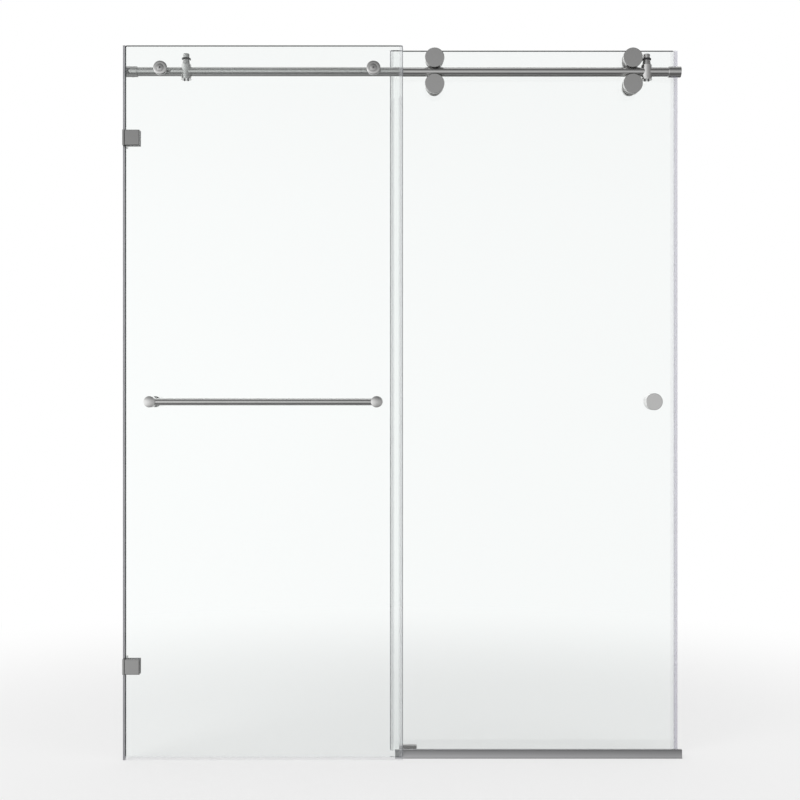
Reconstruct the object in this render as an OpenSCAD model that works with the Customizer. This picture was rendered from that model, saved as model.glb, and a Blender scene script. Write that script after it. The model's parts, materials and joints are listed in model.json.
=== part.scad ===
// Frameless sliding shower door for an alcove: a fixed glass panel carries a round
// header rail, and a glass door hangs behind the rail on grooved rollers.
// Millimetres. Origin: middle of the opening, on the sill, under the rail's axis.
// +X to the right seen from outside, +Y into the shower, +Z up.

/* [Opening and panels] */
// Width between the two walls
opening_w = 1512; // [1420:1:1600]
// Height of the rail's axis above the sill
rail_z = 1866; // [1700:1:2000]
// Thickness of both glass panels
glass_t = 10; // [8:0.5:12]
// Width of the fixed panel
fixed_w = 749; // [700:1:800]
// Gap between the fixed panel and the left wall
wall_gap = 6; // [4:0.5:10]
// Height of the fixed panel's bottom edge above the sill
fixed_bottom = 8; // [5:0.5:12]
// How far the fixed panel stands above the rail's axis
fixed_above_rail = 62.2; // [52:0.2:80]
// How far the closed door reaches behind the fixed panel
panel_overlap = 34.6; // [28:0.2:60]
// Gap between the closed door's glass and the right wall
strike_gap = 11.6; // [8:0.2:16]
// Height of the door glass's bottom edge above the sill
door_bottom = 9; // [7.5:0.5:14]
// How far the door glass stands above the rail's axis
door_above_rail = 66.2; // [58:0.2:80]
// Distance from the rail's axis to the back of the fixed glass
fixed_gap = 24; // [23:0.5:32]
// Distance from the rail's axis to the front of the door glass
door_gap = 24; // [23:0.5:32]
// Corner radius of the glass panels
glass_corner = 4; // [1:0.5:10]

/* [Rail and wall sockets] */
// Diameter of the header rail
rail_d = 25; // [24:0.5:26]
// Outer diameter of a wall socket
socket_d = 30; // [29:0.5:36]
// Length of a wall socket
socket_len = 34; // [26:1:44]
// Thickness of a wall socket's floor
socket_floor = 7; // [6:0.5:10]
// Diameter of the wall screw's hole in a socket
wall_screw_d = 6.5; // [5:0.5:8]
// Depth of the wall screw's countersink
wall_csk = 3; // [2:0.5:4]
// Diameter of the set screws
set_screw_d = 5; // [4:0.5:6]
// Length of a short set screw
grub_len = 2.4; // [2:0.1:3.6]
// Distance from the wall to the socket's set screw
socket_grub_inset = 20; // [16:1:24]

/* [Rail stops] */
// Distance from the left wall to the left stop
stop_inset_left = 165.5; // [140:0.5:190]
// Distance from the right wall to the right stop
stop_inset_right = 92; // [86:0.5:94]
// Diameter of a stop's collar
stop_d = 29; // [28:0.5:30]
// Height of the collar above the rail's axis
stop_up = 17.6; // [16:0.2:18]
// Height of the collar below the rail's axis
stop_down = 21.5; // [19:0.5:24]
// Diameter at the foot of the stop's neck
neck_foot_d = 24; // [22:0.5:25]
// Diameter at the top of the stop's neck
neck_top_d = 20; // [18:0.5:21]
// Height of the stop's neck
neck_h = 14; // [12:0.5:15]
// Diameter of the bumper ring
bumper_d = 24; // [22:0.5:25]
// Thickness of the bumper ring
bumper_t = 5; // [4:0.5:8]
// Diameter of a stop's cap
stop_cap_d = 19; // [16:0.5:21]
// Height of a stop's cap
stop_cap_h = 11.5; // [8:0.5:16]
// Diameter of the cap's stem
stop_stem_d = 8; // [6:0.5:9]
// Depth of the stem in the neck
stop_stem_depth = 12; // [8:0.5:13]
// Distance between a collar's two set screws
stop_screw_pitch = 10; // [8:0.5:12]
// How far the stop's set screws stand out below
stop_screw_proud = 4; // [1:0.5:5]
// Height of the collar's foot, up to the groove round it
stop_foot_h = 5.5; // [3:0.5:6]

/* [Standoffs] */
// Distance from the fixed panel's left edge to the left standoff
standoff_inset_left = 96; // [80:1:130]
// Distance from the fixed panel's right edge to the right standoff
standoff_inset_right = 79; // [60:1:120]
// Diameter of a standoff's cap
standoff_cap_d = 38; // [34:1:44]
// Length of a standoff's cap
standoff_cap_l = 9; // [8:0.5:16]
// Height of the cap's straight rim
standoff_rim = 4; // [2:0.5:6]
// Diameter of the cap's front face
standoff_face_d = 28; // [24:1:32]
// Diameter of the spacer between glass and rail
spacer_d = 14; // [13.5:0.1:14.4]
// Diameter of the spacer's flange
spacer_flange_d = 30; // [24:1:34]
// Thickness of the spacer's flange
spacer_flange_t = 2.2; // [1.5:0.1:3]
// Diameter of the standoff screw
standoff_screw_d = 10; // [8:0.5:10.5]
// Diameter of the standoff screw's head
standoff_head_d = 20; // [16:0.5:22]
// Height of the standoff screw's head
standoff_head_h = 4; // [3:0.5:6]
// Depth of the screw in the rail
standoff_bite = 14; // [10:0.5:17]
// Width across flats of the screw's socket
hex_af = 5; // [4:0.5:6]
// Depth of the screw's socket
hex_depth = 2.5; // [1.5:0.5:3]

/* [Glass holes and gaskets] */
// Diameter of the holes for standoffs and rollers
glass_hole_d = 16; // [15:0.5:20]
// Diameter of the holes for the towel bar and knob
small_hole_d = 12; // [11:0.5:14]
// Thickness of the clear gaskets
gasket_t = 1; // [0.8:0.1:1.5]

/* [Wall clamps] */
// Distance from the fixed panel's top edge to the upper clamp
clamp_inset_top = 249.7; // [150:0.1:400]
// Distance from the fixed panel's bottom edge to the lower clamp
clamp_inset_bottom = 245; // [150:1:400]
// Height of a clamp
clamp_h = 42; // [40:1:60]
// Reach of a clamp from the wall
clamp_reach = 46; // [42:0.5:64]
// Thickness of a clamp's plates
clamp_t = 6; // [5:0.5:8]
// Thickness of the bracket's wall leg
clamp_leg_t = 5; // [3:0.5:5]
// Reach of the wall leg behind the back plate
clamp_leg_tail = 26; // [20:1:36]
// Bevel round the front plate
clamp_bevel = 1.6; // [0.8:0.2:2.5]
// Diameter of the clamp bolt
clamp_bolt_d = 8; // [6:0.5:9]
// Distance from the panel's edge to the clamp bolt
clamp_bolt_inset = 24; // [20:0.5:28]
// Depth of the clamp bolt in the front plate
clamp_bolt_bite = 4; // [3:0.5:4.5]
// Distance between a clamp's two wall screws
clamp_screw_pitch = 24; // [18:1:28]
// Diameter of a clamp's wall screw holes
clamp_screw_d = 5.2; // [4:0.2:6.4]

/* [Towel bar] */
// Height of the towel bar and knob above the sill
handle_z = 967; // [850:1:1100]
// Distance between the towel bar's posts
towel_pitch = 600; // [450:1:620]
// Distance from the fixed panel's right edge to the right post
towel_inset = 69.5; // [60:0.5:110]
// Diameter of the towel bar
towel_bar_d = 19; // [16:0.5:22]
// Distance from the glass to the towel bar's axis
towel_reach = 52; // [42:0.5:70]
// Diameter of a post's head
post_head_d = 30; // [28:0.5:34]
// Length of a post's head
post_head_l = 24; // [24:0.5:30]
// Height of the dome on a post's head
post_dome = 2.4; // [1:0.2:4]
// Diameter of a post's neck
post_neck_d = 18; // [16:0.5:22]
// Diameter of the posts' screws
post_screw_d = 8; // [6:0.5:8.5]
// Depth of a screw in its post
post_screw_bite = 16; // [10:0.5:20]
// Diameter of the cap heads behind the glass
back_head_d = 30; // [24:1:34]
// Height of the cap heads behind the glass
back_head_h = 6; // [4:0.5:8]

/* [Edge seals] */
// Wall thickness of the clear seals
seal_wall = 1.2; // [0.8:0.1:1.4]
// How far a seal grips over the glass
seal_grip = 9; // [6:0.5:12]
// How far each edge seal's fin reaches across the gap
fin_reach = 24; // [16:0.5:26]
// How far each fin leans towards the other
fin_lean = 11; // [6:0.5:13]
// Height of the fins' lower ends above the sill
fin_foot_z = 30; // [26:1:60]
// Distance from the rail's axis down to the fins' upper ends
fin_drop = 72; // [66:1:120]

/* [Threshold and guide] */
// Height of the threshold
sill_h = 23.6; // [18:0.2:26]
// Distance from the rail's axis to the threshold's front
sill_front = 21; // [18:0.5:22]
// Width of the threshold's top
sill_top_w = 8; // [6:0.5:12]
// Height of the threshold's foot lip
sill_lip = 2.4; // [1.5:0.1:4]
// How far the threshold runs behind the fixed panel
sill_tail = 21; // [10:1:40]
// Length of the door guide
guide_len = 48; // [40:1:60]
// How far the guide reaches behind the fixed panel
guide_tail = 10; // [4:1:20]
// Height of the guide's front jaw
guide_h = 26; // [22:0.5:34]
// Height of the guide's back jaw
guide_back_h = 17; // [14:0.5:22]
// Thickness of the guide's jaws
guide_jaw = 10; // [7:0.5:11]
// Thickness of the guide's floor
guide_floor = 5; // [4:0.5:5.5]
// Thickness of the guide's liner
liner_t = 1.2; // [0.8:0.1:1.6]
// Clearance between the liner and the door glass
liner_clear = 0.4; // [0.3:0.05:0.8]
// Distance between the guide's two screws
guide_screw_pitch = 26; // [20:1:30]
// Diameter of the guide's screw holes
guide_screw_d = 4.4; // [3.5:0.1:5]

/* [Door knob] */
// Distance from the door's edge to the knob's axis
knob_inset = 60.4; // [45:0.5:90]
// Diameter of the outer knob
knob_d = 46; // [36:0.2:56]
// Length of the outer knob
knob_l = 29; // [20:0.5:34]
// Diameter of the inner knob
knob_inner_d = 38; // [30:0.5:50]
// Length of the inner knob
knob_inner_l = 18; // [17:0.5:30]
// Diameter of the knob's stud
knob_stud_d = 6; // [5:0.5:8]
// Depth of the stud in each knob
knob_stud_bite = 14; // [8:0.5:15]

/* [Rollers] */
// Distance from the door's edges to the rollers
roller_inset = 121; // [80:1:180]
// Diameter of the grooved wheels
wheel_d = 50; // [49:0.5:51]
// Width of the grooved wheel
wheel_w = 20; // [19:0.5:21.5]
// Depth of the groove
groove_depth = 2.8; // [2.4:0.1:3]
// Side clearance of the groove round the rail
groove_clear = 0.7; // [0.5:0.1:1]
// Gap drawn between the rail and an upper wheel
ride_gap = 0.3; // [0.2:0.05:0.4]
// Gap between the rail and a lower wheel
jump_gap = 0.8; // [0.5:0.1:1.5]
// Diameter of a roller's cover
cover_d = 53; // [50:0.5:53.5]
// Thickness of a roller's cover
cover_t = 8.5; // [6:0.5:10]
// Edge radius of covers, caps and knobs
edge_r = 1.2; // [0.6:0.1:1.6]
// Outer diameter of the ball bearing
bearing_d = 26; // [24:0.5:28]
// Bore of the ball bearing
bearing_bore = 10; // [9:0.5:10.5]
// Width of the ball bearing
bearing_w = 8; // [7:0.5:9]
// Diameter of the bearing balls
ball_d = 4.76; // [4:0.02:5]
// Diameter of the axle's shoulder
axle_shoulder_d = 14; // [13:0.5:15]
// Diameter of the axle's flange on the glass
axle_flange_d = 30; // [24:1:36]
// Gap between the wheel and the axle's flange
axle_gap = 3; // [2:0.5:4]
// Diameter of the caps on the axles behind the glass
back_cap_d = 40; // [30:1:46]
// Length of the caps on the axles behind the glass
back_cap_l = 9; // [7:0.5:14]
// Thickness of the retaining rings
clip_t = 1; // [0.8:0.1:1.5]

/* [Hidden] */
$fn = 72;

left = -1;
right = 1;
lower = -1;
upper = 1;
// Radial clearance between seated round pieces
fit = 0.05;
// Extra depth of the blind holes
hole_slack = 0.5;
// How far a cutting shape runs past the faces that it cuts
past = 1;

// Walls, panels and rail
wall_x = opening_w / 2;
rail_r = rail_d / 2;
fixed_left = -wall_x + wall_gap;
fixed_right = fixed_left + fixed_w;
fixed_top = rail_z + fixed_above_rail;
fixed_back_y = -fixed_gap;
fixed_front_y = fixed_back_y - glass_t;
door_left = fixed_right - panel_overlap;
door_right = wall_x - strike_gap;
door_top = rail_z + door_above_rail;
door_front_y = door_gap;
door_back_y = door_front_y + glass_t;
// The gap between a rail's end and its socket's floor
rail_end_gap = 1;
rail_half = wall_x - socket_floor - rail_end_gap;

// Stops
neck_z = rail_z + stop_up;
stop_groove_w = 0.6;
stop_groove_depth = 0.4;
bumper_z = neck_z + neck_h;
stop_cap_z = bumper_z + bumper_t;
stop_cap_edge = 2;
stop_screw_seat = rail_r + fit;

// Standoffs
standoff_left_x = fixed_left + standoff_inset_left;
standoff_right_x = fixed_right - standoff_inset_right;
standoff_base_y = fixed_front_y - gasket_t;
standoff_face_y = standoff_base_y - standoff_cap_l;
spacer_y = fixed_back_y + gasket_t;
standoff_screw_end_y = -rail_r + standoff_bite;
sleeve_r = glass_hole_d / 2 - fit;
// How far a gasket stays inside the edge of the piece that it lies under
gasket_inset = 1;
// How far a washer stands out round a towel post's neck or stays inside a knob's foot
washer_rim = 2;

// Clamps
clamp_upper_z = fixed_top - clamp_inset_top;
clamp_lower_z = fixed_bottom + clamp_inset_bottom;
// The gap between a front plate and the bracket's leg
clamp_leg_gap = 0.4;
clamp_plate_x = -wall_x + clamp_leg_t + clamp_leg_gap;
clamp_tip_x = -wall_x + clamp_reach;
clamp_front_y = fixed_front_y - gasket_t - clamp_t;
clamp_back_y = fixed_back_y + gasket_t;
clamp_bolt_x = fixed_left + clamp_bolt_inset;
clamp_head_rim = 3.5;
clamp_bolt_head_d = clamp_bolt_d + 2 * clamp_head_rim;
clamp_bolt_head_h = 3;
// The clamp bolt's shank starts at the bottom of its countersink
clamp_head_y = clamp_back_y + clamp_t;
clamp_leg_end_y = clamp_head_y + clamp_leg_tail;
clamp_screw_y = (clamp_head_y + clamp_leg_end_y) / 2;
clamp_csk = 2;
clamp_gap = 0.5;

// Towel bar
towel_right_x = fixed_right - towel_inset;
towel_left_x = towel_right_x - towel_pitch;
towel_y = fixed_front_y - towel_reach;
post_head_back_y = towel_y + post_head_l / 2;
post_base_y = fixed_front_y - gasket_t;
// Distance from a post's axis to the end of the bar in its head
bar_end_inset = 3;
post_grub_inset = 6;

// Door
knob_x = door_right - knob_inset;
roller_left_x = door_left + roller_inset;
roller_right_x = door_right - roller_inset;

// Rollers: distances from the wheel's own axis
wheel_r = wheel_d / 2;
groove_floor_r = wheel_r - groove_depth;
groove_r = rail_r + groove_clear;
upper_offset = rail_r + ride_gap + groove_floor_r;
lower_offset = rail_r + jump_gap + groove_floor_r;
bearing_r = bearing_d / 2;
bore_r = bearing_bore / 2;
pitch_r = (bearing_r + bore_r) / 2;
race_land = 1.8;
race_groove_r = ball_d / 2 + 0.07;
shield_t = 0.6;
shield_gap = 0.2;
ball_count = 7;
axle_shoulder_r = axle_shoulder_d / 2;
axle_flange_y = wheel_w / 2 + axle_gap;
axle_base_y = door_front_y - gasket_t;
axle_tip = 1.4;
axle_tip_y = -bearing_w / 2 - clip_t - axle_tip;
back_cap_floor = 2;
axle_end_y = door_back_y + gasket_t + back_cap_l - back_cap_floor;
clip_groove = 0.8;
clip_reach = 2;

// Guide
guide_x = fixed_right - guide_tail;
guide_slot = glass_t + 2 * (liner_clear + liner_t + fit);
guide_front_y = door_front_y + glass_t / 2 - guide_slot / 2 - guide_jaw;
guide_depth = guide_slot + 2 * guide_jaw;
guide_mid_x = guide_x + guide_len / 2;
guide_mid_y = door_front_y + glass_t / 2;
guide_csk = 2.4;
// The threshold's back butts on the guide
sill_back = guide_front_y;

// A radius for the countersink of a screw hole of diameter d and depth h
function csk_r(d, h) = d / 2 + h;
function roller_x(side) = side == left ? roller_left_x : roller_right_x;
function roller_z(level) = level == upper ? rail_z + upper_offset : rail_z - lower_offset;
function stop_x(side) = side == left ? -wall_x + stop_inset_left : wall_x - stop_inset_right;
function standoff_x(side) = side == left ? standoff_left_x : standoff_right_x;
function towel_x(side) = side == left ? towel_left_x : towel_right_x;
function clamp_z(level) = level == upper ? clamp_upper_z : clamp_lower_z;

// Turns a half section (x is the radius, y runs along +Y) round a Y axis
module turn_y(x, y, z) {
    translate([x, y, z]) rotate([-90, 0, 0]) rotate_extrude() children();
}

// A round bar along Y from y0 to y1
module rod_y(x, z, y0, y1, r) {
    translate([x, y0, z]) rotate([-90, 0, 0]) cylinder(h = y1 - y0, r = r);
}

// A round bar along X from x0 to x1
module rod_x(y, z, x0, x1, r) {
    translate([x0, y, z]) rotate([0, 90, 0]) cylinder(h = x1 - x0, r = r);
}

// A box between two corners
module block(from, to) {
    translate(from) cube(to - from);
}

// Half section of a disc of radius r and thickness t, its front edge rounded by e
module disc_half(r, t, e) {
    square([r - e, t]);
    translate([0, e]) square([r, t - e]);
    translate([r - e, e]) circle(e);
}

// Half section of a flat ring
module ring_half(r0, r1, t) {
    translate([r0, 0]) square([r1 - r0, t]);
}

// Rectangle with its lower left corner at the origin and corners of radius r
module round_rect(w, h, r) {
    translate([r, 0]) square([w - 2 * r, h]);
    translate([0, r]) square([w, h - 2 * r]);
    for (x = [r, w - r], y = [r, h - r]) translate([x, y]) circle(r);
}

// A standing sheet: the children are drawn in X and Z, and fill y0 to y0 + t
module sheet(y0, t) {
    translate([0, y0 + t, 0]) rotate([90, 0, 0]) linear_extrude(t) children();
}

// A countersunk hole along -X from the wall face at x, its cone on the +X side
module wall_hole(x, y, z, wall, d, csk) {
    rod_x(y, z, x - past, x + wall + past, d / 2);
    translate([x + wall - csk, y, z]) rotate([0, 90, 0])
        cylinder(h = csk + 0.01, r1 = d / 2, r2 = csk_r(d, csk));
}

// Fixed panel

module fixed_glass() {
    color("#cfd6d8") sheet(fixed_front_y, glass_t) difference() {
        translate([fixed_left, fixed_bottom])
            round_rect(fixed_w, fixed_top - fixed_bottom, glass_corner);
        for (side = [left, right]) {
            translate([standoff_x(side), rail_z]) circle(d = glass_hole_d);
            translate([towel_x(side), handle_z]) circle(d = small_hole_d);
        }
        for (level = [lower, upper])
            translate([clamp_bolt_x, clamp_z(level)]) circle(d = small_hole_d);
    }
}

// Clear strip in the gap at the wall, cut out round the clamps
module wall_seal() {
    seal_in = 1;
    color("#d9d7e6") difference() {
        block([-wall_x, fixed_front_y + seal_in, 0],
              [fixed_left, fixed_back_y - seal_in, fixed_top]);
        for (level = [lower, upper])
            block([-wall_x - past, fixed_front_y, clamp_z(level) - clamp_h / 2 - clamp_gap],
                  [fixed_left + past, fixed_back_y, clamp_z(level) + clamp_h / 2 + clamp_gap]);
    }
}

// Clip over a panel's edge, drawn in X and Y for an edge that faces +X at x = 0
module seal_clip(y0) {
    difference() {
        translate([-seal_grip, y0 - seal_wall - fit])
            square([seal_grip + seal_wall + fit, glass_t + 2 * (seal_wall + fit)]);
        translate([-seal_grip - past, y0 - fit])
            square([seal_grip + past + fit, glass_t + 2 * fit]);
    }
}

// Fin that reaches towards +Y from y0 and leans towards -X
module seal_fin(y0) {
    root = 2;
    polygon([
        [seal_wall, y0], [seal_wall - root, y0],
        [-fin_lean - root / 2, y0 + fin_reach], [-fin_lean, y0 + fin_reach]
    ]);
}

module fixed_edge_seal() {
    color("#d9d7e6") translate([fixed_right, 0, 0]) {
        translate([0, 0, fixed_bottom])
            linear_extrude(fixed_top - fixed_bottom) seal_clip(fixed_front_y);
        translate([0, 0, fin_foot_z])
            linear_extrude(rail_z - fin_drop - fin_foot_z) seal_fin(fixed_back_y);
    }
}

// Clear strip that the fixed panel stands on
module sill_strip() {
    color("#d9d7e6")
        block([fixed_left, fixed_front_y, 0], [fixed_right, fixed_back_y, fixed_bottom]);
}

// Header rail

module header_rail() {
    color("#a9abad") difference() {
        rod_x(0, rail_z, -rail_half, rail_half, rail_r);
        for (side = [left, right])
            rod_y(standoff_x(side), rail_z, -rail_r - past, standoff_screw_end_y + past,
                  standoff_screw_d / 2 + fit);
    }
}

module rail_socket(side) {
    color("#9fa1a3") translate([side * wall_x, 0, rail_z]) mirror([side == left ? 0 : 1, 0, 0])
        difference() {
            rotate([0, 90, 0]) rotate_extrude() mirror([0, 1]) translate([0, -socket_len])
                disc_half(socket_d / 2, socket_len, edge_r);
            rod_x(0, 0, socket_floor, socket_len + past, rail_r + fit);
            wall_hole(0, 0, 0, socket_floor, wall_screw_d, wall_csk);
            translate([socket_grub_inset, 0, -socket_d]) cylinder(h = socket_d, d = set_screw_d + 2 * fit);
        }
}

// Short set screws: one under each wall socket, one under each towel bar post
module grub_screws() {
    color("#5a5c5e") for (side = [left, right]) {
        translate([side * (wall_x - socket_grub_inset), 0, rail_z - rail_r - fit - grub_len])
            cylinder(h = grub_len, d = set_screw_d);
        translate([towel_x(side) - side * post_grub_inset, towel_y,
                   handle_z - towel_bar_d / 2 - fit - grub_len])
            cylinder(h = grub_len, d = set_screw_d);
    }
}

// Rail stops: an upright cylinder that the rail runs through, with a neck on top

module stop_collar(side) {
    color("#b5b7b9") translate([stop_x(side), 0, 0]) difference() {
        union() {
            translate([0, 0, rail_z - stop_down]) cylinder(h = stop_down + stop_up, d = stop_d);
            translate([0, 0, neck_z]) cylinder(h = neck_h, d1 = neck_foot_d, d2 = neck_top_d);
        }
        rod_x(0, rail_z, -stop_d, stop_d, rail_r + fit);
        translate([0, 0, bumper_z - stop_stem_depth - past])
            cylinder(h = stop_stem_depth + 2 * past, d = stop_stem_d + 2 * fit);
        for (s = [-1, 1])
            translate([s * stop_screw_pitch / 2, 0, rail_z - stop_down - past])
                cylinder(h = stop_down, d = set_screw_d + 2 * fit);
        translate([0, 0, rail_z - stop_down + stop_foot_h]) rotate_extrude()
            ring_half(stop_d / 2 - stop_groove_depth, stop_d / 2 + past, stop_groove_w);
    }
}

module stop_bumper(side) {
    color("#2b2b2d") translate([stop_x(side), 0, bumper_z])
        rotate_extrude() ring_half(stop_stem_d / 2 + fit, bumper_d / 2, bumper_t);
}

module stop_cap(side) {
    color("#b5b7b9") translate([stop_x(side), 0, 0]) {
        translate([0, 0, stop_cap_z]) rotate_extrude() translate([0, stop_cap_h]) mirror([0, 1])
            disc_half(stop_cap_d / 2, stop_cap_h, stop_cap_edge);
        translate([0, 0, bumper_z - stop_stem_depth])
            cylinder(h = stop_stem_depth + bumper_t, d = stop_stem_d);
    }
}

module stop_set_screws() {
    color("#3c3d3f") for (side = [left, right], s = [-1, 1])
        translate([stop_x(side) + s * stop_screw_pitch / 2, 0,
                   rail_z - stop_down - stop_screw_proud])
            cylinder(h = stop_down + stop_screw_proud - stop_screw_seat, d = set_screw_d);
}

// Standoffs that hold the rail behind the fixed panel

module standoff_cap(side) {
    base_r = standoff_cap_d / 2;
    face_r = standoff_face_d / 2;
    color("#b9bbbd") difference() {
        turn_y(standoff_x(side), standoff_face_y, rail_z) polygon([
            [0, 0], [face_r - 1, 0], [face_r, 1],
            [base_r, standoff_cap_l - standoff_rim], [base_r, standoff_cap_l], [0, standoff_cap_l]
        ]);
        rod_y(standoff_x(side), rail_z, standoff_face_y - past, standoff_face_y + standoff_head_h,
              standoff_head_d / 2 + fit);
        rod_y(standoff_x(side), rail_z, standoff_face_y, standoff_base_y + past,
              standoff_screw_d / 2 + fit);
    }
}

module standoff_spacer(side) {
    color("#a9abad") difference() {
        union() {
            rod_y(standoff_x(side), rail_z, spacer_y, -rail_r + 3, spacer_d / 2);
            rod_y(standoff_x(side), rail_z, spacer_y, spacer_y + spacer_flange_t,
                  spacer_flange_d / 2);
        }
        rod_x(0, rail_z, -wall_x, wall_x, rail_r + fit);
        rod_y(standoff_x(side), rail_z, spacer_y - past, 0, standoff_screw_d / 2 + fit);
    }
}

module standoff_screws() {
    color("#8d8f91") for (side = [left, right]) difference() {
        union() {
            rod_y(standoff_x(side), rail_z, standoff_face_y,
                  standoff_face_y + standoff_head_h, standoff_head_d / 2);
            rod_y(standoff_x(side), rail_z, standoff_face_y,
                  standoff_screw_end_y, standoff_screw_d / 2);
        }
        translate([standoff_x(side), standoff_face_y - past, rail_z]) rotate([-90, 0, 0])
            cylinder(h = hex_depth + past, d = hex_af / cos(30), $fn = 6);
    }
}

// Washer on a panel's front face with a sleeve in the hole, and a washer behind
module glass_gasket(x, z, front_y, bolt_d, hole_d, front_d, back_d) {
    bolt_r = bolt_d / 2 + fit;
    turn_y(x, front_y - gasket_t, z) {
        ring_half(bolt_r, front_d / 2 - gasket_inset, gasket_t);
        ring_half(bolt_r, hole_d / 2 - fit, gasket_t + glass_t);
    }
    turn_y(x, front_y + glass_t, z) ring_half(bolt_r, back_d / 2 - gasket_inset, gasket_t);
}

module fixed_panel_gaskets() {
    color("#dddbe6") for (side = [left, right]) {
        glass_gasket(standoff_x(side), rail_z, fixed_front_y, standoff_screw_d, glass_hole_d,
                     standoff_cap_d, spacer_flange_d);
        glass_gasket(towel_x(side), handle_z, fixed_front_y, post_screw_d, small_hole_d,
                     post_neck_d + 2 * washer_rim, back_head_d);
    }
}

// Wall clamps

// Front plate with a bevel round its face
module clamp_plate(level) {
    w = clamp_tip_x - clamp_plate_x;
    color("#a3a5a7") difference() {
        translate([clamp_plate_x, clamp_front_y, clamp_z(level) - clamp_h / 2]) intersection() {
            linear_extrude(clamp_h) polygon([
                [0, clamp_t], [0, clamp_bevel], [clamp_bevel, 0],
                [w - clamp_bevel, 0], [w, clamp_bevel], [w, clamp_t]
            ]);
            translate([w, 0, 0]) rotate([0, -90, 0]) linear_extrude(w) polygon([
                [0, clamp_t], [0, clamp_bevel], [clamp_bevel, 0],
                [clamp_h - clamp_bevel, 0], [clamp_h, clamp_bevel], [clamp_h, clamp_t]
            ]);
        }
        rod_y(clamp_bolt_x, clamp_z(level), clamp_front_y + clamp_t - clamp_bolt_bite - hole_slack,
              clamp_front_y + clamp_t + past, clamp_bolt_d / 2 + fit);
    }
}

// Angle bracket: a leg on the wall and a plate behind the glass
module clamp_bracket(level) {
    z0 = clamp_z(level) - clamp_h / 2;
    color("#a3a5a7") difference() {
        union() {
            block([-wall_x, clamp_front_y, z0],
                  [-wall_x + clamp_leg_t, clamp_leg_end_y, z0 + clamp_h]);
            block([-wall_x, clamp_back_y, z0], [clamp_tip_x, clamp_head_y, z0 + clamp_h]);
        }
        rod_y(clamp_bolt_x, clamp_z(level), clamp_back_y - past, clamp_head_y + past,
              clamp_bolt_d / 2 + fit);
        translate([clamp_bolt_x, clamp_head_y - clamp_bolt_head_h, clamp_z(level)])
            rotate([-90, 0, 0]) cylinder(h = clamp_bolt_head_h + 0.01,
                r1 = clamp_bolt_d / 2 + fit, r2 = clamp_bolt_head_d / 2 + fit);
        for (s = [-1, 1])
            wall_hole(-wall_x, clamp_screw_y, clamp_z(level) + s * clamp_screw_pitch / 2,
                      clamp_leg_t, clamp_screw_d, clamp_csk);
    }
}

module clamp_bolts() {
    color("#6d6f71") for (level = [lower, upper]) {
        difference() {
            union() {
                rod_y(clamp_bolt_x, clamp_z(level), clamp_front_y + clamp_t - clamp_bolt_bite,
                      clamp_head_y, clamp_bolt_d / 2);
                translate([clamp_bolt_x, clamp_head_y - clamp_bolt_head_h, clamp_z(level)])
                    rotate([-90, 0, 0]) cylinder(h = clamp_bolt_head_h,
                        r1 = clamp_bolt_d / 2, r2 = clamp_bolt_head_d / 2);
            }
            translate([clamp_bolt_x, clamp_head_y - hex_depth, clamp_z(level)])
                rotate([-90, 0, 0]) cylinder(h = hex_depth + past, d = hex_af / cos(30), $fn = 6);
        }
    }
}

// Soft pads between the clamps and the glass
module clamp_pads() {
    w = clamp_tip_x - fixed_left - gasket_inset;
    h = clamp_h - 2 * gasket_inset;
    color("#dddbe6") for (level = [lower, upper], y = [fixed_front_y - gasket_t, fixed_back_y])
        sheet(y, gasket_t) difference() {
            translate([fixed_left, clamp_z(level) - h / 2]) square([w, h]);
            translate([clamp_bolt_x, clamp_z(level)]) circle(d = clamp_bolt_d + 2 * fit);
        }
}

// Towel bar

module towel_bar() {
    color("#a9abad") rod_x(towel_y, handle_z, towel_left_x + bar_end_inset,
                           towel_right_x - bar_end_inset, towel_bar_d / 2);
}

// Post with a domed head; the bar's end lies in a blind hole in the head's side
module towel_post(side) {
    head_r = post_head_d / 2;
    dome_r = (head_r * head_r + post_dome * post_dome) / (2 * post_dome);
    x = towel_x(side);
    color("#b0b2b4") difference() {
        union() {
            turn_y(x, post_head_back_y - post_head_l, handle_z) union() {
                square([head_r, post_head_l]);
                intersection() {
                    translate([0, dome_r - post_dome]) circle(dome_r, $fn = 360);
                    translate([0, -post_dome]) square([head_r, post_dome + 1]);
                }
            }
            rod_y(x, handle_z, post_head_back_y - past, post_base_y, post_neck_d / 2);
        }
        rod_x(towel_y, handle_z, side == left ? x + bar_end_inset - fit : x - head_r - past,
              side == left ? x + head_r + past : x - bar_end_inset + fit, towel_bar_d / 2 + fit);
        rod_y(x, handle_z, post_base_y - post_screw_bite - hole_slack, post_base_y + past,
              post_screw_d / 2 + fit);
        translate([x - side * post_grub_inset, towel_y, handle_z - head_r - past])
            cylinder(h = head_r, d = set_screw_d + 2 * fit);
    }
}

// Cap-headed screws that hold the posts from behind the glass
module towel_back_screws() {
    head_y = fixed_back_y + gasket_t;
    color("#8d8f91") for (side = [left, right]) {
        turn_y(towel_x(side), head_y, handle_z) translate([0, back_head_h]) mirror([0, 1])
            disc_half(back_head_d / 2, back_head_h, edge_r);
        rod_y(towel_x(side), handle_z, post_base_y - post_screw_bite, head_y, post_screw_d / 2);
    }
}

// Threshold and door guide

// Dam on the sill, drawn in Y and Z: foot lip, hollow-curved face, flat top, sloping back
module sill_section() {
    face_in = 2.4;
    face_r = 60;
    back_foot = 4;
    top_y = -sill_front + face_in;
    difference() {
        polygon([
            [-sill_front, 0], [-sill_front, sill_lip], [-sill_front + 1, sill_lip],
            [top_y, sill_h - 1], [top_y + 1, sill_h], [top_y + sill_top_w, sill_h],
            [sill_back, back_foot], [sill_back, 0]
        ]);
        translate([-sill_front - face_r + 1.35, (sill_h + sill_lip) / 2]) circle(face_r, $fn = 360);
    }
}

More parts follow.
